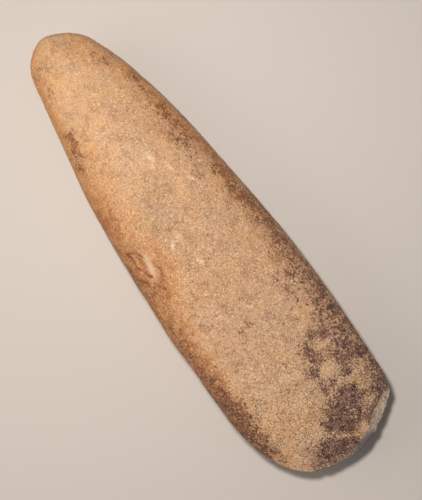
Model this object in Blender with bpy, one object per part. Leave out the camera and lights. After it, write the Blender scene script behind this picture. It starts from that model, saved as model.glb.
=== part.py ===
"""A polished stone axe head, lying on its belly, at its real size in metres.

The long axis runs along X with the cutting edge towards +X. Z points up, and the origin is on the
table below the middle of the stone. The stone is one solid: a plan outline is filled with rows that
bend from the round butt to the curved cutting edge, an oval thickness is raised on both faces, and
the old flake scars and edge chips are then cut out of it.
"""

import math
from collections import namedtuple

import bmesh
import bpy
import numpy as np
from mathutils import Matrix, Vector, noise
from mathutils.bvhtree import BVHTree

# Sizes of the ground stone
LENGTH = 0.210
BREADTH = 0.0634
THICKNESS = 0.038
CUTTING_EDGE_BLUNTING = 0.0005
RESTING_FLAT_DEPTH = 0.0006

# Plan outline, as (share of LENGTH from the butt, share of half the BREADTH from the long axis).
# Each stretch ends where the next one begins, and the last one ends at the butt.
BUTT = ((0.036, -0.415), (0.0115, -0.262), (0.0, -0.066), (0.0125, 0.125))
PLUS_Y_FLANK = (
    (0.034, 0.330),
    (0.096, 0.537),
    (0.188, 0.706),
    (0.328, 0.838),
    (0.463, 0.922),
    (0.575, 0.982),
    (0.740, 0.990),
    (0.858, 0.957),
)
CUTTING_EDGE = (
    (0.918, 0.930),
    (0.948, 0.852),
    (0.972, 0.690),
    (0.9905, 0.430),
    (0.9995, 0.150),
    (0.998, -0.130),
    (0.981, -0.545),
    (0.950, -0.750),
)
MINUS_Y_FLANK = (
    (0.895, -0.925),
    (0.842, -0.993),
    (0.745, -1.006),
    (0.665, -0.994),
    (0.615, -1.006),
    (0.520, -0.960),
    (0.429, -0.914),
    (0.290, -0.795),
    (0.201, -0.683),
    (0.107, -0.550),
)

# Thickness along and across the stone, as shares of the run of the flanks and as powers
BUTT_DOME_RUN = 0.50
WEDGE_RUN = 0.52
WEDGE_POWER = 2.6
BODY_OVAL_POWER = 2.2
EDGE_OVAL_POWER = 3.2

# Mesh fineness: rows along the stone, which draw together towards its ends, columns across a face
ROWS = 66
COLUMNS = 28
END_CROWDING = 0.93
END_CROWDING_RUN = 0.06
ROW_BEND_POWER = 3

# Hand grinding left the faces slightly uneven, and hammering left the butt rougher
UNDULATION = 0.00035
UNDULATION_SPAN = 0.026
BUTT_BATTER = 0.00055
BUTT_BATTER_SPAN = 0.007
BUTT_BATTER_REACH = 0.024

# Length, width and depth of each scar that a flake left
CORNER_SCAR_LENGTH = 0.0300
CORNER_SCAR_WIDTH = 0.0132
CORNER_SCAR_DEPTH = 0.0017
EDGE_NICK_LENGTH = 0.0050
EDGE_NICK_WIDTH = 0.0030
EDGE_NICK_DEPTH = 0.0005
FLANK_BOWL_LENGTH = 0.0215
FLANK_BOWL_WIDTH = 0.0105
FLANK_BOWL_DEPTH = 0.0008
FLANK_HOLLOW_LENGTH = 0.0155
FLANK_HOLLOW_WIDTH = 0.0052
FLANK_HOLLOW_DEPTH = 0.0012
FLANK_TROUGH_LENGTH = 0.0120
FLANK_TROUGH_WIDTH = 0.0040
FLANK_TROUGH_DEPTH = 0.0006

# Where each scar's middle is, as shares of LENGTH and of half the BREADTH, its length, width and
# depth, the turn of its long way from X and how far it leans about its long way, both in degrees
Scar = namedtuple("Scar", "name along across length width depth turn lean")
SCARS = (
    Scar(
        "edge_corner", 0.9605, 0.680,
        CORNER_SCAR_LENGTH, CORNER_SCAR_WIDTH, CORNER_SCAR_DEPTH, -54, 5,
    ),
    Scar(
        "edge_nick", 0.9930, 0.330,
        EDGE_NICK_LENGTH, EDGE_NICK_WIDTH, EDGE_NICK_DEPTH, -70, 0,
    ),
    Scar(
        "flank_bowl", 0.4780, -0.690,
        FLANK_BOWL_LENGTH, FLANK_BOWL_WIDTH, FLANK_BOWL_DEPTH, 15, 0,
    ),
    Scar(
        "flank_hollow", 0.4710, -0.716,
        FLANK_HOLLOW_LENGTH, FLANK_HOLLOW_WIDTH, FLANK_HOLLOW_DEPTH, 15, -12,
    ),
    Scar(
        "flank_trough", 0.4970, -0.578,
        FLANK_TROUGH_LENGTH, FLANK_TROUGH_WIDTH, FLANK_TROUGH_DEPTH, -12, 0,
    ),
)
SCAR_CAP_SHARE = 0.22
SCAR_ROUGHNESS = 0.05
SCAR_ROUGHNESS_SPAN = 0.45
SCAR_ROUGHNESS_SHIFT = 50
SCAR_RINGS = 14
SCAR_SEGMENTS = 28

STONE_COLOUR = (0.470, 0.330, 0.215, 1.0)
STONE_ROUGHNESS = 0.72
SHARP_EDGE_ANGLE = 35
CURVE_SAMPLES = 60
SAME_LEVEL = 0.00002


def clear_scene():
    for obj in list(bpy.data.objects):
        bpy.data.objects.remove(obj, do_unlink=True)


def stone_material():
    material = bpy.data.materials.new("weathered_stone")
    material.use_nodes = True
    shader = material.node_tree.nodes["Principled BSDF"]
    shader.inputs["Base Color"].default_value = STONE_COLOUR
    shader.inputs["Roughness"].default_value = STONE_ROUGHNESS
    shader.inputs["Metallic"].default_value = 0.0
    return material


def outline_stretches():
    """The four stretches of the closed plan outline, each as many points along a smooth curve."""
    stretches = (BUTT, PLUS_Y_FLANK, CUTTING_EDGE, MINUS_Y_FLANK)
    knots = np.array([knot for stretch in stretches for knot in stretch])
    knots = knots * (LENGTH, BREADTH / 2)
    after = np.roll(knots, -1, axis=0)
    before = np.roll(knots, 1, axis=0)
    to_after = np.linalg.norm(after - knots, axis=1)[:, None]
    to_before = np.linalg.norm(knots - before, axis=1)[:, None]
    # The direction at a knot favours its nearer neighbour, so that the curve stays even
    heading = (after - knots) / to_after * to_before + (knots - before) / to_before * to_after
    heading /= to_after + to_before
    curves = []
    first = 0
    step = np.linspace(0, 1, CURVE_SAMPLES, endpoint=False)[:, None]
    for stretch in stretches:
        points = []
        for here in range(first, first + len(stretch)):
            there = (here + 1) % len(knots)
            run = to_after[here]
            points.append(
                (2 * step**3 - 3 * step**2 + 1) * knots[here]
                + (step**3 - 2 * step**2 + step) * run * heading[here]
                + (3 * step**2 - 2 * step**3) * knots[there]
                + (step**3 - step**2) * run * heading[there]
            )
        first += len(stretch)
        points.append(knots[None, first % len(knots)])
        curves.append(np.concatenate(points))
    return curves


def along_curve(curve, shares):
    """Points at these shares of a curve's own length."""
    steps = np.linalg.norm(np.diff(curve, axis=0), axis=1)
    reach = np.concatenate([[0], np.cumsum(steps)])
    wanted = np.asarray(shares) * reach[-1]
    return np.stack([np.interp(wanted, reach, curve[:, axis]) for axis in (0, 1)], axis=1)


def row_shares():
    """Shares along the flanks, crowded towards the butt and the cutting edge."""
    middle = (np.arange(ROWS) + 0.5) / ROWS
    to_end = np.minimum(middle, 1 - middle)
    spacing = 1 - END_CROWDING * np.exp(-to_end / END_CROWDING_RUN)
    reach = np.concatenate([[0], np.cumsum(spacing)])
    return reach / reach[-1]


def column_shares():
    """Shares across a face, crowded towards its sides as an ellipse needs."""
    return (1 - np.cos(np.linspace(0, math.pi, COLUMNS + 1))) / 2


def plan_grid():
    """Plan position of every row and column, bent from the butt's curve to the cutting edge's."""
    butt, plus_flank, edge, minus_flank = outline_stretches()
    u = row_shares()
    v = column_shares()
    plus_side = along_curve(plus_flank, u)
    minus_side = along_curve(minus_flank[::-1], u)
    butt_row = along_curve(butt, v)
    edge_row = along_curve(edge[::-1], v)
    across = v[None, :, None]
    grid = minus_side[:, None] * (1 - across) + plus_side[:, None] * across
    for row, weight in ((butt_row, (1 - u) ** ROW_BEND_POWER), (edge_row, u**ROW_BEND_POWER)):
        chord = row[0] * (1 - v[:, None]) + row[-1] * v[:, None]
        grid += weight[:, None, None] * (row - chord)[None]
    return grid, u, v


def quarter_round(share):
    """Height of a quarter circle that rises from 0 to 1 as its share does."""
    return np.sqrt(1 - (1 - np.minimum(share, 1)) ** 2)


def face_height(half_thickness, u, v):
    """Height of one face above the outline's plane at each row and column."""
    dome = quarter_round(u / BUTT_DOME_RUN)
    wedge = 1 - (1 - np.minimum((1 - u) / WEDGE_RUN, 1)) ** WEDGE_POWER
    blunting = CUTTING_EDGE_BLUNTING * quarter_round((1 - u) * LENGTH / CUTTING_EDGE_BLUNTING)
    power = BODY_OVAL_POWER + (EDGE_OVAL_POWER - BODY_OVAL_POWER) * u**ROW_BEND_POWER
    aside = np.abs(2 * v - 1)[None, :]
    oval = np.maximum(1 - aside ** power[:, None], 0) ** (1 / power[:, None])
    return (half_thickness * dome * wedge + blunting * dome)[:, None] * oval


def ground_stone():
    """The whole stone as one closed mesh: two faces that share the outline."""
    grid, u, v = plan_grid()
    mesh = bmesh.new()
    rim = {}
    for up, half_thickness in ((True, THICKNESS / 2), (False, THICKNESS / 2 + RESTING_FLAT_DEPTH)):
        height = face_height(half_thickness - CUTTING_EDGE_BLUNTING, u, v) * (1 if up else -1)
        corner = {}
        for row in range(ROWS + 1):
            for column in range(COLUMNS + 1):
                on_rim = row in (0, ROWS) or column in (0, COLUMNS)
                if on_rim and (row, column) in rim:
                    corner[row, column] = rim[row, column]
                    continue
                x, y = grid[row, column]
                z = 0.0 if on_rim else height[row, column]
                corner[row, column] = mesh.verts.new((x, y, z))
                if on_rim:
                    rim[row, column] = corner[row, column]
        for row in range(ROWS):
            for column in range(COLUMNS):
                loop = [(row, column), (row + 1, column), (row + 1, column + 1), (row, column + 1)]
                if not up:
                    loop.reverse()
                mesh.faces.new([corner[place] for place in loop])
    bmesh.ops.recalc_face_normals(mesh, faces=mesh.faces)
    return mesh


def make_uneven(mesh):
    """Moves the surface in and out a little, as hand grinding and the battered butt left it."""
    mesh.normal_update()
    moves = []
    for vertex in mesh.verts:
        swell = UNDULATION * noise.noise(vertex.co / UNDULATION_SPAN)
        near_butt = max(0.0, 1 - vertex.co.x / BUTT_BATTER_REACH)
        batter = BUTT_BATTER * near_butt * noise.noise(vertex.co / BUTT_BATTER_SPAN)
        moves.append(vertex.normal * (swell + batter))
    for vertex, move in zip(mesh.verts, moves):
        vertex.co += move


def cut_resting_flat(mesh):
    """Cuts the small level spot on the belly that the stone lies on."""
    cut = bmesh.ops.bisect_plane(
        mesh,
        geom=mesh.verts[:] + mesh.edges[:] + mesh.faces[:],
        plane_co=(0, 0, -THICKNESS / 2),
        plane_no=(0, 0, -1),
        dist=SAME_LEVEL,
        clear_outer=True,
    )
    rim = [item for item in cut["geom_cut"] if isinstance(item, bmesh.types.BMEdge)]
    bmesh.ops.holes_fill(mesh, edges=rim, sides=0)


def scar_cutter(scar, surface, shift):
    """A rough lens that stands in the upper face by the scar's depth, as a hidden cutter."""
    above = Vector((scar.along * LENGTH, scar.across * BREADTH / 2, THICKNESS))
    place, normal, _, _ = surface.ray_cast(above, Vector((0, 0, -1)))
    heading = Vector((math.cos(math.radians(scar.turn)), math.sin(math.radians(scar.turn)), 0))
    sideways = normal.cross(heading).normalized()
    forward = sideways.cross(normal)
    normal = Matrix.Rotation(math.radians(scar.lean), 3, -forward) @ normal
    sideways = normal.cross(forward)
    turn = Matrix((forward, sideways, normal)).transposed().to_4x4()
    cap_radius = math.sqrt(1 - (1 - SCAR_CAP_SHARE) ** 2)
    size = Vector((scar.length / 2 / cap_radius, scar.width / 2 / cap_radius, scar.depth / SCAR_CAP_SHARE))
    centre = place + normal * (size.z - scar.depth) + shift
    mesh = bmesh.new()
    bmesh.ops.create_uvsphere(mesh, u_segments=SCAR_SEGMENTS, v_segments=SCAR_RINGS, radius=1)
    seed = Vector((scar.along, scar.across, 0)) * SCAR_ROUGHNESS_SHIFT
    for vertex in mesh.verts:
        vertex.co *= 1 + SCAR_ROUGHNESS * noise.noise(vertex.co / SCAR_ROUGHNESS_SPAN + seed)
    mesh.transform(Matrix.Translation(centre) @ turn @ Matrix.Diagonal(size).to_4x4())
    data = bpy.data.meshes.new(scar.name)
    mesh.to_mesh(data)
    mesh.free()
    cutter = bpy.data.objects.new("cutter_" + scar.name, data)
    bpy.context.scene.collection.objects.link(cutter)
    cutter.hide_render = True
    cutter.display_type = "WIRE"
    return cutter


def middle_on_table(mesh):
    """Moves the stone so that the origin is below the middle of its box, level with its flat."""
    corners = np.array([vertex.co for vertex in mesh.verts])
    low, high = corners.min(axis=0), corners.max(axis=0)
    shift = Vector((-(low[0] + high[0]) / 2, -(low[1] + high[1]) / 2, -low[2]))
    bmesh.ops.translate(mesh, verts=mesh.verts, vec=shift)
    return shift


def axe_head():
    mesh = ground_stone()
    make_uneven(mesh)
    cut_resting_flat(mesh)
    surface = BVHTree.FromBMesh(mesh)
    shift = middle_on_table(mesh)
    data = bpy.data.meshes.new("axe_head")
    mesh.to_mesh(data)
    mesh.free()
    data.materials.append(stone_material())
    stone = bpy.data.objects.new("axe_head", data)
    bpy.context.scene.collection.objects.link(stone)
    for scar in SCARS:
        cut = stone.modifiers.new(scar.name, "BOOLEAN")
        cut.operation = "DIFFERENCE"
        cut.object = scar_cutter(scar, surface, shift)
    data.shade_smooth()
    data.set_sharp_from_angle(angle=math.radians(SHARP_EDGE_ANGLE))
    return stone


clear_scene()
axe_head()
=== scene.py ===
"""Looks of a polished stone axe head: grained, stained stone with its old scars, on a studio floor.

The file is laid out as an add-on and run as a script. The stone lies along X with its cutting edge
towards +X. Lengths are in metres, apart from the marks and lines on the stone, which are given in
millimetres as one would measure them on the stone seen from above: first from the butt's end, then
from the long axis.
"""

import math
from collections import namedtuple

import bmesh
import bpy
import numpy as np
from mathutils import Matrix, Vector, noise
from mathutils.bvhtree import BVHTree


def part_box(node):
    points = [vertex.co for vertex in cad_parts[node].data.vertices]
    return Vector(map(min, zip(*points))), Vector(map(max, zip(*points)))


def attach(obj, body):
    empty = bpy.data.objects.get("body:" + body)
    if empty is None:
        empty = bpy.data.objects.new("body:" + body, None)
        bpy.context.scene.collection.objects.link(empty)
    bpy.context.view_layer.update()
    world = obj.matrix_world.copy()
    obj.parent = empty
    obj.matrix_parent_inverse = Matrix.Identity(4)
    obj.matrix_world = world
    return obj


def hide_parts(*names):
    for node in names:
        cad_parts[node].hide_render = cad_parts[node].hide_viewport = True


bl_info = {
    "name": "Polished Stone Axe Head",
    "version": (1, 0, 0),
    "blender": (4, 5, 0),
    "location": "3D View > Sidebar > Stone Axe",
    "description": "Grained, stained and chipped surface for a stone axe head, with its studio stage",
    "category": "Object",
}

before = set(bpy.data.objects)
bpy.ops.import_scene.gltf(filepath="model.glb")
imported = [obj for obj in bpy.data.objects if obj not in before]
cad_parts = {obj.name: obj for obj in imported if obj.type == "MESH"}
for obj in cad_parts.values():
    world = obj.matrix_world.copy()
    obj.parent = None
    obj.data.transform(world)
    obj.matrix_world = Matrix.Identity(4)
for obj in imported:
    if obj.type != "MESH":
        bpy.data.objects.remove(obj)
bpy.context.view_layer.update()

NODE = "axe_head"
DRESSED = "weathered_stone"
LOW, HIGH = [Vector(corner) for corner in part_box(NODE)]
MILLIMETRE = 0.001
OUTLINE_LEVEL = (LOW.z + HIGH.z) / 2

# A soft-edged oval mark: its middle, length, breadth, turn from the long axis in degrees, strength
Mark = namedtuple("Mark", "along across length breadth turn strength")

# How fast marks fade outwards, and how abruptly: stains have softer edges than the other marks
MARK_FALLOFF = 0.7
MARK_ABRUPTNESS = 1.4
STAIN_ABRUPTNESS = 1.0

# Dark purple-brown staining on the upper face and over the flanks
STAINS = (
    Mark(12, 7, 9, 6, 0, 0.25),
    Mark(22, 11, 10, 5, 15, 0.35),
    Mark(32, 18, 18, 4, 14, 0.35),
    Mark(46, 20, 14, 5, 10, 0.4),
    Mark(55, 20, 10, 7, 5, 0.45),
    Mark(62, 21, 12, 7, 8, 0.52),
    Mark(68, 21.5, 8, 5.5, 5, 0.62),
    Mark(78, 27, 8, 4, 5, 0.3),
    Mark(87, 25.5, 13, 6, 5, 0.6),
    Mark(98, 26.5, 12, 7, 3, 0.36),
    Mark(105, 27, 9, 5, 3, 0.38),
    Mark(113, 28.5, 13, 6, 3, 0.52),
    Mark(122, 28, 12, 7, 0, 0.55),
    Mark(128, 20, 8, 5, 0, 0.3),
    Mark(132, 26, 11, 6, 0, 0.4),
    Mark(137, 18, 7, 5, 30, 0.35),
    Mark(143, 27, 12, 6, 0, 0.62),
    Mark(154, 28, 12, 7, 0, 0.54),
    Mark(164, 29, 8, 6, 0, 0.6),
    Mark(159, 14.5, 4.5, 4, 0, 0.65),
    Mark(162, 19, 8, 5, 54, 0.7),
    Mark(170, 24, 8, 4.5, 54, 0.75),
    Mark(164, 10, 7, 4.5, 54, 0.75),
    Mark(170, 11, 4.5, 4.5, 0, 0.6),
    Mark(172, 7, 6, 4, 54, 0.65),
    Mark(168, 15.5, 6, 4, 54, 0.45),
    Mark(174, 20, 11, 7, 54, 0.7),
    Mark(176, 27, 9, 5, 54, 0.75),
    Mark(180, 16, 5, 6, 54, 0.65),
    Mark(186, 28.5, 12, 7, 20, 0.9),
    Mark(193, 27.5, 8, 6, -30, 0.9),
    Mark(179.5, 8, 9, 5, 54, 0.85),
    Mark(172, -1, 5, 3, 54, 0.35),
    Mark(178, 1.5, 5, 3, 54, 0.3),
    Mark(188, 13.5, 8, 7, 54, 0.8),
    Mark(192, 9.5, 11, 9, 54, 0.85),
    Mark(192.5, 4.5, 8, 7, 54, 0.75),
    Mark(196.5, 5.5, 10, 8, 54, 0.85),
    Mark(187, 4, 3.5, 5, 54, 0.2),
    Mark(194, -2.5, 5, 3.5, 54, 0.25),
    Mark(201, 7.5, 6, 4.5, 54, 0.75),
    Mark(204, -3, 12, 9, 54, 0.95),
    Mark(203.5, -8, 8, 7, 54, 0.9),
    Mark(206, 3, 9, 7, 54, 0.9),
    Mark(204.5, -12, 7, 4, 54, 0.65),
    Mark(203.5, -17, 7, 2.5, 54, 0.4),
    Mark(189, 26, 6, 6, 54, 0.5),
    Mark(194.0, 26.2, 6, 4.0, 54, 0.95),
    Mark(199.5, 14.5, 7, 5, 54, 0.5),
    Mark(198, 17.5, 3.5, 2.5, 54, 0.75),
    Mark(191, 19, 14, 8, 54, 0.33),
    Mark(176, 0, 24, 16, 0, 0.1),
    Mark(150, 19, 24, 12, 0, 0.22),
    Mark(172, 20, 34, 20, 0, 0.22),
    Mark(194, 12, 22, 22, 0, 0.2),
    Mark(203, -4, 10, 8, 54, 0.5),
    Mark(202, 0.2, 9, 9, 54, 0.65),
    Mark(126, 24, 60, 8, 2, 0.18),
    Mark(84, 23, 50, 6, 7, 0.12),
    Mark(154, -28.5, 14, 5, 0, 0.75),
    Mark(158, -26.5, 16, 8, 0, 0.3),
    Mark(166, -28, 14, 7.5, 0, 0.85),
    Mark(176, -27.5, 12, 7, 0, 0.85),
    Mark(179, -24.5, 12, 5, -8, 0.2),
    Mark(187, -26, 10, 5, -10, 0.7),
    Mark(135, -28, 9, 4.5, 0, 0.6),
    Mark(125, -28.5, 7, 4, 0, 0.5),
    Mark(144, -28.5, 12, 4, 0, 0.55),
    Mark(41, -16.5, 8, 3.5, 3, 0.65),
    Mark(44, -16.5, 16, 6, 0, 0.3),
    Mark(46, -17, 7, 3, -10, 0.55),
    Mark(51, -20, 9, 3, 3, 0.5),
    Mark(11, -11, 10, 5, -35, 0.45),
    Mark(20, -12, 12, 5, -10, 0.35),
    Mark(113, -25, 14, 6, 0, 0.2),
    Mark(73, -26, 16, 5, -4, 0.4),
    Mark(61, 15, 12, 8, 10, 0.25),
    Mark(99, -28.3, 13, 3, 0, 0.45),
    Mark(104, -27.4, 6, 3, 40, 0.4),
    Mark(107.5, -25.8, 7, 3, 40, 0.35),
)

# Places within the staining that stayed clean
CLEAN = (
    Mark(174.5, 13, 6, 5, 54, 0.85),
    Mark(183.5, 19, 18, 3.5, 68, 0.6),
    Mark(196.5, 16.5, 16, 5, -36, 0.4),
    Mark(203.5, 10.5, 3.5, 4, 54, 0.6),
    Mark(165.5, 17, 4, 3, 54, 0.5),
    Mark(201.3, 3.5, 14, 2.2, 58, 0.55),
    Mark(195.6, -3.6, 7, 3.4, 54, 0.55),
    Mark(180.5, 24, 8, 6, 54, 0.4),
)

# Duller, browner stone in the middle of the face
DULL_STONE = (
    Mark(112, 2, 66, 40, 4, 0.85),
    Mark(146, -6, 30, 26, 0, 0.4),
    Mark(84, -2, 24, 18, 0, 0.3),
    Mark(47, 8, 36, 15, 8, 0.6),
)

# Orange to rust tint from iron in the soil, most of it along the -Y flank
RUST = (
    Mark(56, -21, 46, 9, -6, 0.65),
    Mark(63, -16, 24, 10, -6, 0.45),
    Mark(76, -24, 18, 9, -5, 1.0),
    Mark(89, -26, 16, 6, -4, 0.8),
    Mark(98, -24, 16, 8, 10, 0.6),
    Mark(98, -14, 9, 4, 10, 0.75),
    Mark(105, -13, 7, 5, 0, 0.75),
    Mark(102, -21, 32, 17, 5, 0.6),
    Mark(88, -21, 26, 9, -4, 0.55),
    Mark(106.5, -19.5, 9, 5, -40, 0.65),
    Mark(111, -22, 12, 6, 10, 0.5),
    Mark(97.5, -27.5, 14, 3.5, 5, 0.9),
    Mark(106.5, -24.5, 11, 3, 40, 0.9),
    Mark(139, -25.5, 40, 8, -3, 0.75),
    Mark(172, -26, 34, 9, 0, 0.45),
    Mark(18, 10, 24, 9, 20, 0.3),
    Mark(50, 21, 44, 8, 12, 0.4),
    Mark(92, 26, 44, 6, 5, 0.3),
    Mark(112, -24, 16, 8, 0, 0.6),
    Mark(97, -22.3, 9, 3.4, 12, 0.6),
    Mark(99.5, -25.6, 14, 4.5, 12, 0.85),
    Mark(105.5, -23.5, 11, 2.8, 35, 0.8),
    Mark(109, -20, 14, 9, -10, 0.45),
    Mark(120, -22, 20, 8, -5, 0.35),
    Mark(130, -27, 34, 9, -3, 0.6),
    Mark(152, -28, 30, 8, 0, 0.55),
    Mark(165, -30, 44, 4, 0, 0.55),
    Mark(196, -23, 22, 4, -40, 0.5),
    Mark(64, 24, 34, 4, 9, 0.45),
    Mark(25, 14, 30, 4, 22, 0.35),
    Mark(12, 5, 9, 8, 0, 0.12),
    Mark(80, -13, 8, 5, 0, 0.5),
    Mark(53, -12, 8, 5, 0, 0.4),
)

# Bright specks where larger pale crystals lie together
PALE_SPECKS = (
    Mark(66, 5, 4.2, 1.6, 10, 1.0),
    Mark(74, 9, 3.2, 1.0, 5, 0.9),
    Mark(82, 13, 3.2, 1.0, 40, 0.9),
    Mark(69, 4, 3.0, 0.9, -20, 0.6),
    Mark(97, -4, 3.0, 2.0, 0, 0.6),
    Mark(99, -8, 4.0, 1.2, -35, 1.0),
    Mark(110, -3, 3.0, 1.8, 0, 0.7),
    Mark(129, -10, 2.4, 0.9, 20, 1.0),
    Mark(136, 3, 1.4, 1.2, 0, 0.9),
    Mark(161, -12, 1.4, 1.2, 0, 0.9),
)

# The fresher stone of the corner scar, and the smooth slate-coloured spot beside it
FRESH_STONE = (
    Mark(202.5, 19.5, 14, 6.6, -54, 1.0),
    Mark(199.0, 27.0, 9, 3.4, -54, 0.95),
    Mark(205.5, 14.0, 6, 4.5, -60, 0.9),
)
SLATE_SPOT = (
    Mark(208.0, 9.0, 4.6, 9.0, 12, 1.0),
    Mark(208.6, 4.5, 3.4, 6.0, 5, 0.6),
)

# Palest stone beside the slate spot. In the flank scar a pale strip, partly pale stone and partly a painted
# highlight on the wall that faces the light
WARM_CREAM_AND_HIGHLIGHT = (
    Mark(204.8, 10.6, 3.6, 4.0, 20, 0.45),
    # Painted highlight, with pale stone, on the flank scar's wall that faces the light
    Mark(99.8, -20.0, 10, 2.6, -10, 1.0),
)

# Cracks and steps: their points, then how wide and deep they are in millimetres, and how dark the painted
# shade along them is
Line = namedtuple("Line", "points width depth dark")
CREASES = (
    Line(((90.8, -25.0), (94.5, -24.5), (98.2, -24.5), (101.2, -23.5), (104.0, -22.4)), 1.8, 0.38, 1.00),
    Line(((90.9, -24.8), (92.0, -22.9), (93.4, -21.6), (95.6, -20.4)), 1.8, 0.25, 0.70),
    Line(((101.6, -18.6), (103.4, -17.9), (105.4, -18.1), (107.2, -19.2), (108.4, -20.8)), 1.5, 0.28, 0.70),
    Line(((95.4, -27.8), (99.5, -28.2), (103.2, -26.8), (106.5, -23.2), (111.2, -20.5)), 2.2, 0.20, 0.75),
    Line(((88.0, -17.5), (92.5, -15.2), (97.0, -15.0), (101.0, -16.2)), 1.8, 0.12, 0.20),
    Line(((195.8, 25.2), (197.8, 21.6), (199.3, 18.2), (200.6, 15.6), (203.0, 13.0)), 1.3, 0.22, 0.85),
    Line(((196.6, 23.2), (196.0, 21.4), (197.0, 20.6)), 1.3, 0.15, 0.85),
)

# The weathered area of the flank scar, and the pit where its creases meet
FLANK_SCAR = Mark(102, -24, 30, 13, 5, 1.0)
CREASE_PIT = Mark(103.9, -22.4, 1.6, 1.1, 20, 1.0)
CREASE_PIT_DEPTH = 0.4

# Where the blow that broke the corner landed, how far apart its ripples are, and how they bend
IMPACT = (207.5, 31.0)
RIPPLE_SPACING = 0.0031
RIPPLE_BEND = 2.0

# How marks wander: the size of the noise that moves them, how far it does so, and its shift
BLOT_WANDER = (0.006, 0.0016, 0.0)
CRACK_WANDER = (0.0030, 0.00028, 40.0)

# Noise that breaks up what is painted: the size of its features, its octaves and its shift
BELLY_STAIN_NOISE = (0.030, 2, 3.0)
BELLY_RUST_NOISE = (0.045, 2, 11.0)
CHIP_NOISE = (0.0042, 2, 5.0)
CREASE_SHADE_NOISE = (0.0022, 3, 8.0)
RIPPLE_NOISE = (0.006, 2, 1.0)

# How strong stain and rust are where no mark lies, on the belly and on the +Y and -Y flanks, and
# how much more stain a flank has beside the blade. On the steep flanks these strengths lay partly
# stain and rust and partly painted shade, strongest where the faces turn down
BELLY_STAIN = 0.6
PLUS_FLANK_STAIN_AND_SHADE = 0.12
PLUS_BLADE_STAIN_AND_SHADE = 0.22
MINUS_BLADE_STAIN_AND_SHADE = 0.28
BELLY_RUST = 0.5
MINUS_FLANK_RUST_AND_SHADE = 0.95
PLUS_FLANK_RUST_AND_SHADE = 0.34

# How far the polish has weathered away everywhere, and how much more each cause adds
WEATHERED_LEAST = 0.15
WEATHERED_BY = {"stain": 0.7, "butt": 0.5, "rust": 0.6, "flank scar": 0.8}

# How dark the painted shade in a crease is where the noise keeps it lightest, and how much darker it gets
# where the noise is highest
LEAST_CREASE_SHADE = 0.55
MORE_CREASE_SHADE = 0.45

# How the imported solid's triangles are joined to larger faces, and which of its edges stay sharp
WELD_DISTANCE = 1e-7
JOINED_FACE_ANGLE = math.radians(20)
JOINED_SHAPE_ANGLE = math.radians(60)
SHARP_EDGE_ANGLE = math.radians(24)
EDGE_SHARPNESS = 0.75

# Where the skin's faces are divided once more, so that fine relief has enough points: two regions
# of the upper face down to this level from the outline, and the rim of the cutting edge from this
# far along and this far up and down
FINE_REGIONS = (Mark(100, -21.5, 24, 13, 5, 1.0), Mark(201, 18, 25, 13, -53, 1.0))
FINE_REGION_LOWEST = -0.001
FINE_RIM_START = 188
FINE_RIM_HALF = 0.0014

# How often the skin is evened out and laid back onto the rounded solid, and how strongly
SKIN_PASSES = 3
SKIN_SMOOTHING = 0.5

# World X over which the chipped and crushed strip of the cutting edge begins, and how far along
# the stone the place lies towards which its chips go straight in
EDGE_STRIP = (0.075, 0.085)
BLADE_MIDDLE = 172

# The relief settings that the Geometry Nodes take as inputs
RELIEF_SIZES = (
    "Grain Size", "Grain Depth", "Rough Size", "Rough Depth",
    "Pit Density", "Pit Radius", "Pit Depth", "Chip Depth", "Ripple Depth",
)

# Sheen of the stone and of the floor, the floor's size and place, and the light of the room
STONE_SPECULAR = 0.40
FLOOR_HALF_SIDE = 3.0
FLOOR_SINK = 0.00005
FLOOR_ROUGHNESS = 0.55
FLOOR_SPECULAR = 0.3
ROOM_TINT = (1.0, 0.97, 0.94, 1.0)

# The camera's sensor and nearest distance
SENSOR_SIZE = 0.036
CAMERA_NEAREST = 0.01


def length_property(name, description, default, precision=5):
    return bpy.props.FloatProperty(
        name=name, description=description, default=default, unit="LENGTH", precision=precision
    )


def power_property(name, description, default):
    return bpy.props.FloatProperty(name=name, description=description, default=default, unit="POWER")


def place_property(name, description, default, precision=4):
    return bpy.props.FloatVectorProperty(
        name=name, description=description, default=default, size=len(default), unit="LENGTH",
        precision=precision,
    )


def colour_property(name, description, default):
    return bpy.props.FloatVectorProperty(
        name=name, description=description, default=default, subtype="COLOR", size=3, min=0.0, max=1.0
    )


class StoneReliefSettings(bpy.types.PropertyGroup):
    smoothing_levels: bpy.props.IntProperty(
        name="Smoothing Levels", description="How often the solid's faces are divided",
        default=2, min=1, max=2,
    )
    skin_size: length_property("Skin Face Size", "Side of the faces that cover the stone", 0.00067)
    grain_size: length_property("Grain Size", "Spacing of the ground surface's dimples", 0.0022)
    grain_depth: length_property("Grain Depth", "Height of the ground surface's dimples", 0.00007)
    rough_size: length_property(
        "Rough Size", "Spacing of the relief where the polish has weathered away", 0.0045
    )
    rough_depth: length_property(
        "Rough Depth", "Height of the relief where the polish has weathered away", 0.00022
    )
    pit_density: bpy.props.FloatProperty(
        name="Pits per Square Metre", description="How many hammered pits the grinding left",
        default=52000.0,
    )
    pit_radius: length_property("Pit Radius", "Radius of the largest pits", 0.0016)
    pit_depth: length_property("Pit Depth", "Depth of the largest pits", 0.00022)
    chip_depth: length_property(
        "Edge Chip Depth", "Depth of the fine chips along the cutting edge", 0.00055
    )
    chip_reach: length_property(
        "Edge Chip Reach", "Height above and below the outline up to which chips reach", 0.0016
    )
    ripple_depth: length_property("Ripple Depth", "Height of the ripples in the corner scar", 0.00004)
    seed: bpy.props.IntProperty(name="Seed", description="Seed of the scattered pits", default=7)


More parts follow.
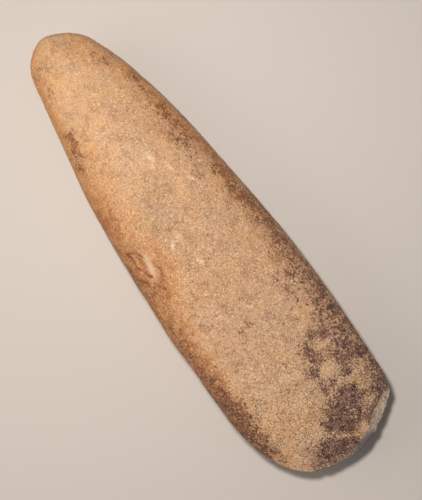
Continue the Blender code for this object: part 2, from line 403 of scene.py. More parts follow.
class StoneColourSettings(bpy.types.PropertyGroup):
    golden: colour_property("Golden Tan", "Ground stone near the butt", (0.62, 0.365, 0.195))
    pinkish: colour_property("Pinkish Tan", "Ground stone of the body", (0.56, 0.335, 0.19))
    ashen: colour_property("Ashen Tan", "Ground stone near the cutting edge", (0.63, 0.417, 0.272))
    olive: colour_property("Olive Tan", "Duller patches of the body", (0.45, 0.285, 0.15))
    greyish: colour_property("Greyish Tan", "Greyer clouds of the body", (0.50, 0.335, 0.222))
    amber: colour_property("Amber", "Warmer clouds of the body", (0.64, 0.36, 0.165))
    shade: colour_property("Mottling", "What mottled patches keep of their colour", (0.70, 0.64, 0.60))
    dull: colour_property("Dull Stone", "What the dull middle keeps of its colour", (0.835, 0.775, 0.71))
    crystal: colour_property("Pale Crystals", "Smallest pale grains", (0.85, 0.65, 0.44))
    dark_grain: colour_property("Dark Grains", "What the smallest dark grains keep", (0.46, 0.38, 0.33))
    stain: colour_property("Stain", "Purple-brown stain", (0.07, 0.034, 0.031))
    stain_edge: colour_property("Stain Edge", "Thin brown stain", (0.215, 0.10, 0.076))
    umber: colour_property("Umber", "Darkest stain towards the butt", (0.17, 0.072, 0.036))
    ochre: colour_property("Ochre Grains", "Pale grains where iron tints the stone", (0.78, 0.44, 0.19))
    orange: colour_property("Orange", "Thin iron tint", (0.60, 0.29, 0.105))
    rust: colour_property("Rust", "Thick iron tint of the flank", (0.36, 0.13, 0.042))
    fresh: colour_property("Fresh Stone", "Broken stone of the corner scar", (0.35, 0.286, 0.262))
    slate: colour_property("Slate", "Smooth spot by the corner scar", (0.115, 0.104, 0.114))
    # Cream also paints the highlight on the flank scar's lit wall
    cream: colour_property("Cream", "Palest stone", (0.82, 0.60, 0.41))
    rim: colour_property("Rim", "Crushed stone along the cutting edge", (0.64, 0.55, 0.45))
    # The crease colour is painted shade along the creases and in the pit where they meet
    crease: colour_property("Crease", "Soil held in the creases", (0.17, 0.064, 0.032))


class StageSettings(bpy.types.PropertyGroup):
    floor_colour: colour_property("Floor", "Plain pale floor", (0.56, 0.525, 0.50))
    lens: length_property("Lens", "Focal length", 0.085, 4)
    view_height: length_property("View Height", "Real height of the view at the stone's outline", 0.20175)
    view_turn: bpy.props.FloatProperty(
        name="View Turn", description="Turn of the camera about the vertical",
        default=math.radians(53.92), subtype="ANGLE",
    )
    view_middle: place_property("View Middle", "Point on the floor below the camera", (0.0042, 0.0029), 5)
    key_power: power_property("Key Power", "Main light", 2.00)
    key_place: place_property("Key Place", "Middle of the main light", (-0.085, 0.006, 0.480))
    key_size: length_property("Key Size", "Side of the main light", 0.045, 4)
    key_colour: colour_property("Key Colour", "Colour of the main light", (1.0, 0.93, 0.85))
    fill_power: power_property("Fill Power", "Soft side light", 1.2)
    fill_place: place_property("Fill Place", "Middle of the soft side light", (-0.300, -0.420, 0.360))
    fill_size: length_property("Fill Size", "Side of the soft side light", 0.45, 4)
    fill_colour: colour_property("Fill Colour", "Colour of the side light", (1.0, 0.87, 0.72))
    room_light: bpy.props.FloatProperty(
        name="Room Light", description="Strength of the even light from all around", default=0.20
    )


def along_x(from_butt):
    """World X of a place given in millimetres from the butt's end."""
    return LOW.x + from_butt * MILLIMETRE


def mark_field(marks, points, abruptness=MARK_ABRUPTNESS):
    """Strength of soft-edged oval marks at points seen from above. Where marks overlap they add up."""
    bare = np.ones(len(points))
    for mark in marks:
        turn = math.radians(mark.turn)
        aside = points[:, 0] - along_x(mark.along)
        across = points[:, 1] - mark.across * MILLIMETRE
        lengthways = (aside * math.cos(turn) + across * math.sin(turn)) / (mark.length / 2 * MILLIMETRE)
        sideways = (across * math.cos(turn) - aside * math.sin(turn)) / (mark.breadth / 2 * MILLIMETRE)
        reach = lengthways**2 + sideways**2
        bare *= 1 - mark.strength * np.exp(-MARK_FALLOFF * reach**abruptness)
    return 1 - bare


def line_field(line, points):
    """How near points seen from above are to a line: 1 on it and 0 beyond its width."""
    corners = np.array([(along_x(x), y * MILLIMETRE) for x, y in line.points])
    nearest = np.full(len(points), np.inf)
    for start, end in zip(corners, corners[1:]):
        run = end - start
        share = np.clip((points[:, :2] - start) @ run / (run @ run), 0, 1)
        gap = points[:, :2] - start - share[:, None] * run
        nearest = np.minimum(nearest, np.hypot(gap[:, 0], gap[:, 1]))
    share = np.clip(1 - nearest / (line.width / 2 * MILLIMETRE), 0, 1)
    return share * share * (3 - 2 * share)


def noise_field(points, size, octaves=3, shift=0.0):
    """Fractal noise of about -1 to 1 at points, with features of this size."""
    offset = Vector((shift, shift, shift))
    return np.array([
        noise.fractal(Vector(point) / size + offset, 1.0, 2.1, octaves) for point in points
    ])


def wandered(points, size, reach, shift):
    """The points moved about in plan by noise, so that marks drawn on them get irregular outlines."""
    moved = points.copy()
    moved[:, 0] += reach * noise_field(points, size, 3, shift)
    moved[:, 1] += reach * noise_field(points, size, 3, shift + 20.0)
    return moved


def smooth_step(low, high, value):
    share = np.clip((value - low) / (high - low), 0, 1)
    return share * share * (3 - 2 * share)


def store(mesh, name, values):
    layer = mesh.attributes.new(name, "FLOAT", "POINT")
    layer.data.foreach_set("value", np.asarray(values, dtype=np.float32))


def points_of(mesh):
    flat = np.empty(len(mesh.vertices) * 3, dtype=np.float32)
    mesh.vertices.foreach_get("co", flat)
    return flat.reshape(-1, 3).astype(float)


def normals_of(mesh):
    flat = np.empty(len(mesh.vertices) * 3, dtype=np.float32)
    mesh.vertex_normals.foreach_get("vector", flat)
    return flat.reshape(-1, 3).astype(float)


def in_region(region, point):
    """Whether a point seen from above lies inside an oval mark."""
    field = mark_field([region], np.array([point]))
    return field[0] > math.exp(-MARK_FALLOFF)


def merged_solid():
    """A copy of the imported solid, its loose triangles joined into one skin of four-sided faces."""
    mesh = bmesh.new()
    mesh.from_mesh(bpy.data.objects[NODE].data)
    bmesh.ops.remove_doubles(mesh, verts=mesh.verts, dist=WELD_DISTANCE)
    bmesh.ops.join_triangles(
        mesh, faces=mesh.faces,
        angle_face_threshold=JOINED_FACE_ANGLE, angle_shape_threshold=JOINED_SHAPE_ANGLE,
    )
    crease = mesh.edges.layers.float.new("crease_edge")
    for edge in mesh.edges:
        if edge.is_manifold and edge.calc_face_angle() > SHARP_EDGE_ANGLE:
            edge[crease] = EDGE_SHARPNESS
    data = bpy.data.meshes.new(DRESSED)
    mesh.to_mesh(data)
    mesh.free()
    return data


def plain_copy(piece):
    """The piece's evaluated shape as a plain mesh object, which takes the piece's place."""
    bpy.context.view_layer.update()
    graph = bpy.context.evaluated_depsgraph_get()
    data = bpy.data.meshes.new_from_object(piece.evaluated_get(graph), depsgraph=graph)
    bpy.data.objects.remove(piece, do_unlink=True)
    data.name = DRESSED
    copy = bpy.data.objects.new(DRESSED, data)
    bpy.context.scene.collection.objects.link(copy)
    return copy


def rounded_stone(levels):
    """The solid with rounded faces."""
    piece = bpy.data.objects.new(DRESSED, merged_solid())
    bpy.context.scene.collection.objects.link(piece)
    rounding = piece.modifiers.new("rounding", "SUBSURF")
    rounding.levels = levels
    rounding.render_levels = levels
    return plain_copy(piece)


def surface_of(piece):
    """The piece's surface as a tree that finds its nearest point."""
    mesh = bmesh.new()
    mesh.from_mesh(piece.data)
    surface = BVHTree.FromBMesh(mesh)
    mesh.free()
    return surface


def even_skin(piece, size):
    """The piece covered anew with faces of one size."""
    skin = piece.modifiers.new("even_skin", "REMESH")
    skin.mode = "VOXEL"
    skin.voxel_size = size
    return plain_copy(piece)


def needs_finer_points(face):
    """Whether a face of the skin lies in a scar or on the thin rim of the cutting edge."""
    middle = face.calc_center_median()
    above = middle.z - OUTLINE_LEVEL
    if abs(above) < FINE_RIM_HALF and middle.x > along_x(FINE_RIM_START):
        return True
    return above > FINE_REGION_LOWEST and any(in_region(region, middle) for region in FINE_REGIONS)


def smoothed_stone(relief):
    """The rounded stone under an even skin, which is finer where the scars and the edge need it."""
    rounded = rounded_stone(relief.smoothing_levels)
    surface = surface_of(rounded)
    piece = even_skin(rounded, relief.skin_size)
    mesh = bmesh.new()
    mesh.from_mesh(piece.data)
    fine = [face for face in mesh.faces if needs_finer_points(face)]
    edges = dict.fromkeys(edge for face in fine for edge in face.edges)
    bmesh.ops.subdivide_edges(mesh, edges=list(edges), cuts=1, use_grid_fill=True, smooth=0.0)
    for _ in range(SKIN_PASSES):
        bmesh.ops.smooth_vert(
            mesh, verts=mesh.verts, factor=SKIN_SMOOTHING,
            use_axis_x=True, use_axis_y=True, use_axis_z=True,
        )
        for vertex in mesh.verts:
            vertex.co = surface.find_nearest(vertex.co)[0]
    mesh.to_mesh(piece.data)
    mesh.free()
    return piece


def layered(lower, upper):
    """One strength from 0 to 1 laid over another."""
    return 1 - (1 - lower) * (1 - upper)


class SkinPlaces:
    """Where each point of the skin lies. Levels are in millimetres above the outline."""

    def __init__(self, mesh):
        self.points = points_of(mesh)
        self.blotted = wandered(self.points, *BLOT_WANDER)
        self.cracked = wandered(self.points, *CRACK_WANDER)
        self.level = (self.points[:, 2] - OUTLINE_LEVEL) / MILLIMETRE
        self.from_butt = (self.points[:, 0] - LOW.x) / MILLIMETRE
        self.upper = smooth_step(-9, -1, self.level)
        self.top = smooth_step(-1.5, 0.0, self.level)
        self.belly = 1 - self.upper
        # Steep faces of the upper half: the stain and rust laid there are partly painted shade where the
        # faces turn down
        steep = smooth_step(0.10, 0.46, 1 - np.abs(normals_of(mesh)[:, 2]))
        self.flank = steep * self.upper * smooth_step(202, 190, self.from_butt)
        self.plus_side = smooth_step(2, 10, self.points[:, 1] / MILLIMETRE)
        self.minus_side = smooth_step(-2, -10, self.points[:, 1] / MILLIMETRE)


def stain_strength(skin):
    """Stain of the marks, faint stain on the belly, and stain with painted shade on the steep flanks, more
    of it near the blade.
    """
    belly_noise = smooth_step(-0.1, 0.5, noise_field(skin.points, *BELLY_STAIN_NOISE))
    belly_stain = skin.belly * belly_noise * BELLY_STAIN
    plus_stain_and_shade = PLUS_FLANK_STAIN_AND_SHADE + PLUS_BLADE_STAIN_AND_SHADE * smooth_step(95, 150, skin.from_butt)
    minus_stain_and_shade = skin.minus_side * MINUS_BLADE_STAIN_AND_SHADE * smooth_step(140, 170, skin.from_butt)
    stain = np.maximum(skin.upper * mark_field(STAINS, skin.blotted, STAIN_ABRUPTNESS), belly_stain)
    stain = stain * (1 - skin.top * mark_field(CLEAN, skin.blotted))
    # Painted shade, with stain, on the steep flanks where the faces turn down
    return layered(stain, skin.flank * (skin.plus_side * plus_stain_and_shade + minus_stain_and_shade))


def rust_strength(skin):
    """Rust of the marks, thin rust on the belly, and rust with painted shade on both steep flanks."""
    belly_noise = smooth_step(0.0, 0.6, noise_field(skin.points, *BELLY_RUST_NOISE))
    belly_rust = skin.belly * belly_noise * BELLY_RUST
    rust = np.maximum(mark_field(RUST, skin.blotted) * smooth_step(-14, -2, skin.level), belly_rust)
    # Painted shade, with rust, on the steep flanks where the faces turn down
    flank_rust_and_shade = skin.flank * (skin.minus_side * MINUS_FLANK_RUST_AND_SHADE + skin.plus_side * PLUS_FLANK_RUST_AND_SHADE)
    return layered(rust, flank_rust_and_shade)


def crease_strengths(skin):
    """How dark the painted shade in the creases is, and how deep they are."""
    creases = np.zeros(len(skin.points))
    grooves = np.zeros(len(skin.points))
    shade_noise = smooth_step(-0.40, 0.30, noise_field(skin.points, *CREASE_SHADE_NOISE))
    for line in CREASES:
        near = skin.top * line_field(line, skin.cracked)
        # The darkness of a crease is painted shade, broken up by noise
        creases = np.maximum(creases, near * line.dark * (LEAST_CREASE_SHADE + MORE_CREASE_SHADE * shade_noise))
        grooves = np.maximum(grooves, near * line.depth)
    pit = skin.top * mark_field([CREASE_PIT], skin.cracked)
    return np.maximum(creases, pit), np.maximum(grooves, pit * CREASE_PIT_DEPTH)


def ripples(skin):
    """Waves that run out from the place where the blow that broke the corner landed."""
    ring = np.hypot(skin.points[:, 0] - along_x(IMPACT[0]), skin.points[:, 1] - IMPACT[1] * MILLIMETRE)
    bend = RIPPLE_BEND * noise_field(skin.points, *RIPPLE_NOISE)
    return np.sin(ring / RIPPLE_SPACING * 2 * math.pi + bend)


def weathering(skin, stain, rust):
    """How far the polish has weathered away, from 0 to 1."""
    near_butt = 1 - smooth_step(4, 26, skin.from_butt)
    flank_scar = skin.top * mark_field([FLANK_SCAR], skin.points)
    causes = {"stain": stain, "butt": near_butt, "rust": rust, "flank scar": flank_scar}
    added = (WEATHERED_BY[cause] * strength for cause, strength in causes.items())
    return np.clip(sum(added, WEATHERED_LEAST), 0, 1)


def paint_marks(mesh, relief):
    """Stores where the stone is stained, rusty, chipped or creased, and where shade and a highlight are
    painted, as attributes of its points.
    """
    skin = SkinPlaces(mesh)
    stain = stain_strength(skin)
    rust = rust_strength(skin)
    creases, grooves = crease_strengths(skin)
    scarred = smooth_step(-2.5, -1.2, skin.level)
    fresh = scarred * mark_field(FRESH_STONE, skin.cracked)
    edge_strip = smooth_step(*EDGE_STRIP, skin.points[:, 0])
    height = np.abs(skin.level)
    thin = 1 - smooth_step(0.3, relief.chip_reach / MILLIMETRE, height)
    chips = smooth_step(0.05, 0.45, noise_field(skin.points, *CHIP_NOISE))
    fields = {
        # stain and rust also carry the painted shade of the steep flanks
        "stain": stain,
        "rust": rust,
        "fresh": fresh,
        "dull": skin.upper * mark_field(DULL_STONE, skin.blotted),
        "slate": scarred * mark_field(SLATE_SPOT, skin.blotted),
        # cream also carries the painted highlight in the flank scar
        "cream": skin.top * mark_field(WARM_CREAM_AND_HIGHLIGHT, skin.cracked),
        "pale": skin.top * mark_field(PALE_SPECKS, skin.cracked),
        "crease": creases,
        "groove": grooves * MILLIMETRE,
        "weathered": weathering(skin, stain, rust),
        "chip": thin * edge_strip * chips,
        "rim": edge_strip * (1 - smooth_step(0.4, 2.0, height)) * (0.4 + 0.6 * chips),
        "ripple": fresh * ripples(skin),
    }
    for name, values in fields.items():
        store(mesh, name, values)


class Tree:
    """Adds nodes to a node tree and links them in one go. A value is a socket or a plain value."""

    def __init__(self, tree):
        self.tree = tree

    def put(self, socket, value):
        if isinstance(value, bpy.types.NodeSocket):
            self.tree.links.new(value, socket)
        elif socket.type == "RGBA":
            socket.default_value = (*value[:3], 1.0)
        else:
            socket.default_value = value

    def add(self, kind, inputs=None, **settings):
        node = self.tree.nodes.new(kind)
        for name, value in settings.items():
            setattr(node, name, value)
        for name, value in (inputs or {}).items():
            self.put(node.inputs[name], value)
        return node

    def math(self, operation, *values):
        return self.add("ShaderNodeMath", dict(enumerate(values)), operation=operation).outputs[0]

    def times(self, first, second):
        return self.math("MULTIPLY", first, second)

    def vectors(self, operation, *values):
        node = self.add("ShaderNodeVectorMath", dict(enumerate(values)), operation=operation)
        return node.outputs["Vector"]

    def scaled(self, vector, share):
        node = self.add("ShaderNodeVectorMath", {0: vector, "Scale": share}, operation="SCALE")
        return node.outputs["Vector"]

    def step(self, value, low, high, out_low=0.0, out_high=1.0):
        node = self.add(
            "ShaderNodeMapRange",
            {"Value": value, "From Min": low, "From Max": high, "To Min": out_low, "To Max": out_high},
            interpolation_type="SMOOTHSTEP",
        )
        return node.outputs["Result"]

    def blend(self, share, first, second, kind="MIX"):
        """A mix of two colours."""
        node = self.add("ShaderNodeMix", data_type="RGBA", blend_type=kind, clamp_result=True)
        self.put(node.inputs["Factor"], share)
        first_socket, second_socket = [socket for socket in node.inputs if socket.type == "RGBA"]
        self.put(first_socket, first)
        self.put(second_socket, second)
        return next(socket for socket in node.outputs if socket.type == "RGBA")


class ReliefTree(Tree):
    """The parts of the Geometry Nodes that give the stone its fine relief."""

    def __init__(self):
        super().__init__(bpy.data.node_groups.new("Stone Relief", "GeometryNodeTree"))
        face = self.tree.interface
        face.new_socket("Geometry", in_out="INPUT", socket_type="NodeSocketGeometry")
        for name in RELIEF_SIZES:
            face.new_socket(name, in_out="INPUT", socket_type="NodeSocketFloat")
        face.new_socket("Seed", in_out="INPUT", socket_type="NodeSocketInt")
        face.new_socket("Material", in_out="INPUT", socket_type="NodeSocketMaterial")
        face.new_socket("Geometry", in_out="OUTPUT", socket_type="NodeSocketGeometry")
        self.size = self.add("NodeGroupInput").outputs
        self.position = self.add("GeometryNodeInputPosition").outputs[0]

    def painted(self, name):
        node = self.add("GeometryNodeInputNamedAttribute", {"Name": name}, data_type="FLOAT")
        return node.outputs["Attribute"]

    def stored(self, geometry, name, value):
        return self.add(
            "GeometryNodeStoreNamedAttribute",
            {"Geometry": geometry, "Name": name, "Value": value},
            data_type="FLOAT", domain="POINT",
        ).outputs["Geometry"]

    def swell(self, kind, detail, roughness):
        """Noise relief whose size and depth are the group's inputs of this kind."""
        scale = self.math("DIVIDE", 1.0, self.size[f"{kind} Size"])
        wave = self.add(
            "ShaderNodeTexNoise",
            {"Vector": self.position, "Scale": scale, "Detail": detail, "Roughness": roughness},
        ).outputs["Fac"]
        return self.times(self.math("MULTIPLY_ADD", wave, 4.0, -2.0), self.size[f"{kind} Depth"])

    def pits(self, weathered):
        """The nearest pit's bowl, from 0 outside it to 1 inside, and its share of full size."""
        density = self.math("MULTIPLY_ADD", weathered, 0.85, 0.15)
        pits = self.add(
            "GeometryNodeDistributePointsOnFaces",
            {
                "Mesh": self.size["Geometry"],
                "Density": self.times(self.size["Pit Density"], density),
                "Seed": self.size["Seed"],
            },
            distribute_method="RANDOM",
        ).outputs["Points"]
        chance = self.add("FunctionNodeRandomValue", {"Seed": self.size["Seed"]}, data_type="FLOAT")
        chance = next(socket for socket in chance.outputs if socket.type == "VALUE")
        own_share = self.math("MULTIPLY_ADD", self.math("POWER", chance, 2.5), 0.7, 0.3)
        pits = self.stored(pits, "pit_share", own_share)
        gap = self.add("GeometryNodeProximity", {0: pits}, target_element="POINTS").outputs["Distance"]
        nearest = self.add("GeometryNodeSampleNearest", {"Geometry": pits}, domain="POINT")
        share = self.add(
            "GeometryNodeSampleIndex",
            {"Geometry": pits, "Value": self.painted("pit_share"), "Index": nearest.outputs["Index"]},
            data_type="FLOAT", domain="POINT",
        ).outputs["Value"]
        radius = self.times(self.size["Pit Radius"], share)
        return self.step(self.math("DIVIDE", gap, radius), 1.0, 0.15), share

    def chips(self):
        """Both faces of the thin edge move in together, so that a chip pushes neither past the other."""
        run = self.vectors("SUBTRACT", self.position, (along_x(BLADE_MIDDLE), 0.0, 0.0))
        level_run = self.vectors("NORMALIZE", self.vectors("MULTIPLY", run, (1.0, 1.0, 0.0)))
        depth = self.times(self.painted("chip"), self.size["Chip Depth"])
        return self.scaled(level_run, self.times(depth, -1.0))


def relief_tree():
    """Geometry Nodes that dimple, pit and groove the stone along its normals, and chip its edge."""
    tree = ReliefTree()
    size = tree.size
    weathered = tree.painted("weathered")
    grain = tree.swell("Grain", 2.0, 0.6)
    rough = tree.times(tree.swell("Rough", 3.0, 0.65), weathered)
    bowl, share = tree.pits(weathered)
    pit = tree.times(bowl, tree.times(share, size["Pit Depth"]))
    out = tree.math("SUBTRACT", tree.math("ADD", grain, rough), pit)
    out = tree.math("SUBTRACT", out, tree.painted("groove"))
    out = tree.math("ADD", out, tree.times(tree.painted("ripple"), size["Ripple Depth"]))
    normal = tree.add("GeometryNodeInputNormal").outputs[0]
    offset = tree.vectors("ADD", tree.scaled(normal, out), tree.chips())
    stone = tree.stored(size["Geometry"], "pit", tree.times(bowl, share))
    stone = tree.add("GeometryNodeSetPosition", {"Geometry": stone, "Offset": offset}).outputs["Geometry"]
    stone = tree.add("GeometryNodeRealizeInstances", {"Geometry": stone}).outputs["Geometry"]
    stone = tree.add(
        "GeometryNodeSetMaterial", {"Geometry": stone, "Material": size["Material"]}
    ).outputs["Geometry"]
    tree.add("NodeGroupOutput", {"Geometry": stone})
    return tree.tree


class StoneShader(Tree):
    """The stone's looks in layers. A layer takes the colour below it and returns its own."""

    def __init__(self, material, colour):
        super().__init__(material.node_tree)
        self.colour = colour
        self.place = self.add("ShaderNodeTexCoord").outputs["Object"]
        ways = self.add("ShaderNodeSeparateXYZ", {"Vector": self.place}).outputs
        self.lengthways = ways["X"]
        self.crosswise = ways["Y"]
        self.to_butt = self.step(self.lengthways, 0.03, -0.10)
        self.to_blade = self.step(self.lengthways, -0.03, 0.09)
        self.mottle = self.grains(430.0, 3.0, 0.65)
        self.fine = self.grains(1650.0, 2.0, 0.7)
        self.rust_break = self.grains(260.0, 4.0, 0.65)
        self.crystals = self.cells(1500.0, 0)
        self.fresh = self.painted("fresh")
        self.cream = self.painted("cream")
        self.slate = self.painted("slate")
        self.crease = self.painted("crease")

    def grains(self, scale, detail=2.0, roughness=0.55, distortion=0.0):
        inputs = {
            "Vector": self.place, "Scale": scale, "Detail": detail,
            "Roughness": roughness, "Distortion": distortion,
        }
        return self.add("ShaderNodeTexNoise", inputs).outputs["Fac"]

    def cells(self, scale, channel):
        """A random value for each small cell, from one colour channel of the cells."""
        colour = self.add("ShaderNodeTexVoronoi", {"Vector": self.place, "Scale": scale}).outputs["Color"]
        return self.add("ShaderNodeSeparateColor", {"Color": colour}).outputs[channel]

    def painted(self, name):
        return self.add("ShaderNodeAttribute", attribute_name=name).outputs["Fac"]

    def centred(self, wave, strength):
        return self.times(self.math("SUBTRACT", wave, 0.5), strength)

    def ground(self):
        """Broad tones, from golden at the butt to ashen at the cutting edge, and mottling."""
        colour = self.colour
        broad = self.grains(38.0, 3.0, 0.6)
        patchy = self.grains(120.0, 3.0, 0.6)
        cloudy = self.grains(200.0, 3.0, 0.6)
        grey_clouds = self.grains(85.0, 2.0, 0.5, 0.6)
        warm_clouds = self.grains(95.0, 3.0, 0.55)
        body = self.blend(self.step(broad, 0.42, 0.62), colour.pinkish, colour.olive)
        body = self.blend(self.times(self.to_blade, 0.70), body, colour.ashen)
        body = self.blend(self.to_butt, body, colour.golden)
        body = self.blend(self.step(patchy, 0.38, 0.66, 0.0, 0.55), body, colour.pinkish)
        body = self.blend(self.step(grey_clouds, 0.50, 0.68, 0.0, 0.60), body, colour.greyish)
        body = self.blend(self.step(warm_clouds, 0.50, 0.36, 0.0, 0.55), body, colour.amber)
        body = self.blend(self.step(self.mottle, 0.52, 0.70, 0.0, 0.40), body, colour.olive)
        body = self.blend(self.step(cloudy, 0.48, 0.66, 0.0, 0.70), body, colour.shade, "MULTIPLY")
        return self.blend(self.painted("dull"), body, colour.dull, "MULTIPLY")

    def rusted(self, body):
        """Rust follows its marks, broken up by noise. Towards the butt it stays orange."""
        broken = self.step(self.rust_break, 0.28, 0.66, 0.50, 1.0)
        self.rust = self.times(self.painted("rust"), broken)
        tone = self.blend(self.step(self.rust, 0.25, 0.90), self.colour.orange, self.colour.rust)
        near_butt = self.step(self.lengthways, -0.022, -0.058, 0.0, 0.75)
        return self.blend(self.rust, body, self.blend(near_butt, tone, self.colour.orange))

    def stained(self, body):
        """A halo, and a crowd of small dark spots that is denser where the marks are stronger."""
        mark = self.painted("stain")
        purple = self.times(self.to_blade, self.step(self.crosswise, -0.026, -0.008, 0.60, 1.0))
        thin_tone = self.blend(purple, self.colour.rust, self.colour.stain_edge)
        body = self.blend(self.times(mark, 0.50), body, thin_tone)
        spots = self.centred(self.grains(1150.0, 2.0, 0.7), 6.5)
        clumps = self.centred(self.grains(330.0, 3.0, 0.65), 5.0)
        blots = self.centred(self.grains(150.0, 3.0, 0.6), 4.0)
        crowd = self.math("ADD", self.math("ADD", spots, clumps), blots)
        over = self.math("ADD", self.math("MULTIPLY_ADD", mark, 3.15, -1.5), crowd)
        over = self.times(over, self.math("MULTIPLY_ADD", self.to_butt, -0.40, 1.0))
        self.stain = self.step(over, -0.35, 0.60)
        tone = self.blend(purple, self.colour.umber, self.colour.stain)
        tone = self.blend(self.step(self.mottle, 0.40, 0.62), tone, thin_tone)
        return self.blend(self.times(self.stain, 0.96), body, tone)

    def broken(self, body):
        """The fresh stone of the corner scar, cream places with the painted highlight of the flank scar,
        pale specks and the crushed rim.
        """
        colour = self.colour
        aged = self.step(self.rust_break, 0.44, 0.68, 0.0, 0.6)
        fresh_tone = self.blend(aged, colour.fresh, colour.pinkish)
        body = self.blend(self.times(self.fresh, 0.90), body, fresh_tone)
        # Cream places include a painted highlight on the flank scar's lit wall
        body = self.blend(self.times(self.cream, 0.70), body, colour.cream)
        speck = self.times(self.painted("pale"), self.step(self.grains(800.0), 0.36, 0.54, 0.25, 1.0))
        body = self.blend(self.times(speck, 0.90), body, colour.cream)
        return self.blend(self.times(self.painted("rim"), 0.65), body, colour.rim)

    def coarseness(self):
        """How strongly grains show: most near the cutting edge, less where the stone is smooth."""
        near_blade = self.step(self.lengthways, 0.045, 0.085)
        coarse = self.math("MULTIPLY_ADD", self.to_butt, -0.24, 0.62)
        coarse = self.math("ADD", coarse, self.times(near_blade, 0.42))
        smooth = self.math("ADD", self.times(self.fresh, 0.25), self.times(self.cream, 0.55))
        smooth = self.math("ADD", smooth, self.times(self.slate, 0.45))
        return self.times(coarse, self.math("SUBTRACT", 1.0, smooth))

    def grained(self, body):
        """Light and dark grains run through all of it. Slate lies over them."""
        colour = self.colour
        coarse = self.coarseness()
        dark = self.times(self.step(self.cells(1700.0, 1), 0.60, 1.00, 0.0, 0.80), coarse)
        body = self.blend(dark, body, colour.dark_grain, "MULTIPLY")
        dark = self.times(self.step(self.fine, 0.52, 0.68), coarse)
        body = self.blend(dark, body, colour.dark_grain, "MULTIPLY")
        crystal = self.blend(self.times(self.rust, 0.85), colour.crystal, colour.ochre)
        sparkle = self.step(self.crystals, 0.72, 1.00, 0.0, 0.50)
        body = self.blend(self.times(sparkle, self.step(self.fine, 0.55, 0.42)), body, crystal)
        pale = self.times(self.step(self.fine, 0.47, 0.30, 0.0, 0.80), coarse)
        pale = self.times(pale, self.math("MULTIPLY_ADD", self.stain, -0.62, 1.0))
        body = self.blend(pale, body, crystal)
        return self.blend(self.times(self.slate, 0.95), body, colour.slate)

    def darkened_in_pits_and_shaded_in_creases(self, body):
        """Darker in the pits, and painted shade along the creases."""
        in_pits = self.step(self.painted("pit"), 0.25, 0.9, 0.0, 0.40)
        body = self.blend(in_pits, body, self.colour.dark_grain, "MULTIPLY")
        # Painted shade along the creases
        return self.blend(self.step(self.crease, 0.05, 0.90, 0.0, 0.90), body, self.colour.crease)

    def roughness(self):
        """Grinding left a dull sheen, which stain keeps and breaks lack."""
        sheen = self.step(self.grains(420.0, 2.0), 0.3, 0.7, 0.56, 0.72)
        dull = self.times(self.math("ADD", self.fresh, self.crease), 0.2)
        return self.math("SUBTRACT", self.math("ADD", sheen, dull), self.times(self.stain, 0.08))

    def bumps(self):
        """Grains stand up a little, and the finest scratches run along the stone."""
        stretch = self.add("ShaderNodeMapping", {"Vector": self.place, "Scale": (0.08, 1.0, 1.0)})
        scratches = self.add(
            "ShaderNodeTexNoise",
            {"Vector": stretch.outputs["Vector"], "Scale": 1500.0, "Detail": 2.0},
        ).outputs["Fac"]
        height = self.math("ADD", self.times(self.fine, 0.6), self.times(scratches, 0.2))
        height = self.math("ADD", height, self.times(self.crystals, 0.25))
        height = self.math("SUBTRACT", height, self.times(self.stain, 0.35))
        bump = self.add("ShaderNodeBump", {"Strength": 0.55, "Distance": 0.00022, "Height": height})
        return bump.outputs["Normal"]


def stone_material(colour):
    """Grained tan stone with layers of rust, stain and fresh breaks, painted shade along the creases and on
    the steep flanks, and a painted highlight in the flank scar.
    """
    material = bpy.data.materials.new(DRESSED)
    material.use_nodes = True
    surface = material.node_tree.nodes["Principled BSDF"].inputs
    stone = StoneShader(material, colour)
    body = stone.ground()
    for layer in (stone.rusted, stone.stained, stone.broken, stone.grained, stone.darkened_in_pits_and_shaded_in_creases):
        body = layer(body)
    stone.put(surface["Base Color"], body)
    stone.put(surface["Roughness"], stone.roughness())
    stone.put(surface["Normal"], stone.bumps())
    surface["Specular IOR Level"].default_value = STONE_SPECULAR
    return material


def set_modifier_inputs(modifier, values):
    sockets = {item.name: item.identifier for item in modifier.node_group.interface.items_tree
               if item.item_type == "SOCKET" and item.in_out == "INPUT"}
    for name, value in values.items():
        modifier[sockets[name]] = value


class AXE_OT_stone(bpy.types.Operator):
    """Make the weathered stone in place of the plain solid"""

    bl_idname = "stone_axe.stone"
    bl_label = "Weathered Stone"
    bl_options = {"REGISTER", "UNDO"}

    def execute(self, context):
        relief = context.scene.stone_axe_relief
        piece = smoothed_stone(relief)
        paint_marks(piece.data, relief)
        modifier = piece.modifiers.new("relief", "NODES")
        modifier.node_group = relief_tree()
        sizes = {name: getattr(relief, name.lower().replace(" ", "_")) for name in RELIEF_SIZES}
        material = stone_material(context.scene.stone_axe_colours)
        set_modifier_inputs(modifier, {**sizes, "Seed": relief.seed, "Material": material})
        piece = plain_copy(piece)
        piece.data.shade_smooth()
        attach(piece, "root")
        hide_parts(NODE)
        return {"FINISHED"}


def pale_floor(stage):
    """A plain floor just below the stone."""
    material = bpy.data.materials.new("pale_floor")
    material.use_nodes = True
    shader = material.node_tree.nodes["Principled BSDF"]
    shader.inputs["Base Color"].default_value = (*stage.floor_colour, 1.0)
    shader.inputs["Roughness"].default_value = FLOOR_ROUGHNESS
    shader.inputs["Specular IOR Level"].default_value = FLOOR_SPECULAR
    mesh = bmesh.new()
    bmesh.ops.create_grid(mesh, x_segments=1, y_segments=1, size=FLOOR_HALF_SIDE)
    data = bpy.data.meshes.new("floor")
    mesh.to_mesh(data)
    mesh.free()
    data.materials.append(material)
    floor = bpy.data.objects.new("floor", data)
    floor.location.z = LOW.z - FLOOR_SINK
    bpy.context.scene.collection.objects.link(floor)


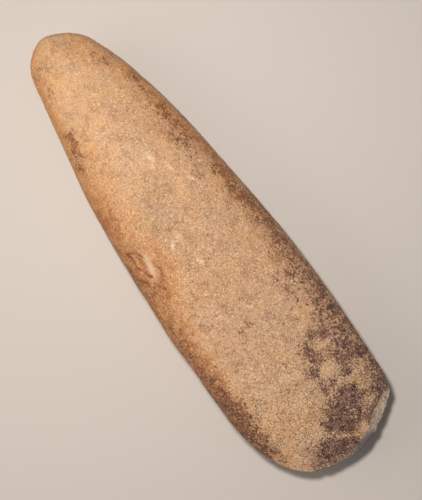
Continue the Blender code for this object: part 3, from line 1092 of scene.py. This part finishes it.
def soft_light(name, place, side, power, colour):
    """A square light that faces the middle of the stone."""
    data = bpy.data.lights.new(name, "AREA")
    data.shape = "SQUARE"
    data.size = side
    data.energy = power
    data.color = colour
    light = bpy.data.objects.new(name, data)
    light.location = place
    to_stone = Vector((0, 0, OUTLINE_LEVEL)) - Vector(place)
    light.rotation_euler = to_stone.to_track_quat("-Z", "Y").to_euler()
    bpy.context.scene.collection.objects.link(light)


def camera_above(stage):
    """Looks straight down, turned so that the stone lies across the picture as photographed."""
    data = bpy.data.cameras.new("camera")
    data.lens = stage.lens / MILLIMETRE
    data.sensor_width = SENSOR_SIZE / MILLIMETRE
    data.clip_start = CAMERA_NEAREST
    camera = bpy.data.objects.new("camera", data)
    distance = stage.view_height / SENSOR_SIZE * stage.lens
    camera.location = (stage.view_middle[0], stage.view_middle[1], OUTLINE_LEVEL + distance)
    camera.rotation_euler = (0, 0, stage.view_turn)
    bpy.context.scene.collection.objects.link(camera)
    bpy.context.scene.camera = camera


def room_light(strength):
    """Even, slightly warm light from all around."""
    world = bpy.data.worlds.new("room")
    world.use_nodes = True
    background = world.node_tree.nodes["Background"]
    background.inputs["Color"].default_value = ROOM_TINT
    background.inputs["Strength"].default_value = strength
    bpy.context.scene.world = world


class AXE_OT_stage(bpy.types.Operator):
    """Set up the pale floor, the soft lights and the camera"""

    bl_idname = "stone_axe.stage"
    bl_label = "Studio Stage"
    bl_options = {"REGISTER", "UNDO"}

    def execute(self, context):
        stage = context.scene.stone_axe_stage
        pale_floor(stage)
        soft_light("key", stage.key_place, stage.key_size, stage.key_power, stage.key_colour)
        soft_light("fill", stage.fill_place, stage.fill_size, stage.fill_power, stage.fill_colour)
        room_light(stage.room_light)
        camera_above(stage)
        context.scene.view_settings.view_transform = "Standard"
        return {"FINISHED"}


class AXE_PT_panel(bpy.types.Panel):
    bl_idname = "AXE_PT_panel"
    bl_label = "Polished Stone Axe Head"
    bl_space_type = "VIEW_3D"
    bl_region_type = "UI"
    bl_category = "Stone Axe"

    def draw(self, context):
        scene = context.scene
        for operator, settings in (
            (AXE_OT_stone, (scene.stone_axe_relief, scene.stone_axe_colours)),
            (AXE_OT_stage, (scene.stone_axe_stage,)),
        ):
            box = self.layout.box()
            box.operator(operator.bl_idname)
            for group in settings:
                for name in group.bl_rna.properties.keys():
                    if name not in {"rna_type", "name"}:
                        box.prop(group, name)


CLASSES = (
    StoneReliefSettings,
    StoneColourSettings,
    StageSettings,
    AXE_OT_stone,
    AXE_OT_stage,
    AXE_PT_panel,
)


def register():
    for cls in CLASSES:
        bpy.utils.register_class(cls)
    bpy.types.Scene.stone_axe_relief = bpy.props.PointerProperty(type=StoneReliefSettings)
    bpy.types.Scene.stone_axe_colours = bpy.props.PointerProperty(type=StoneColourSettings)
    bpy.types.Scene.stone_axe_stage = bpy.props.PointerProperty(type=StageSettings)


def unregister():
    del bpy.types.Scene.stone_axe_stage
    del bpy.types.Scene.stone_axe_colours
    del bpy.types.Scene.stone_axe_relief
    for cls in reversed(CLASSES):
        bpy.utils.unregister_class(cls)


def main():
    register()
    bpy.ops.stone_axe.stone()
    bpy.ops.stone_axe.stage()


if __name__ == "__main__":
    main()
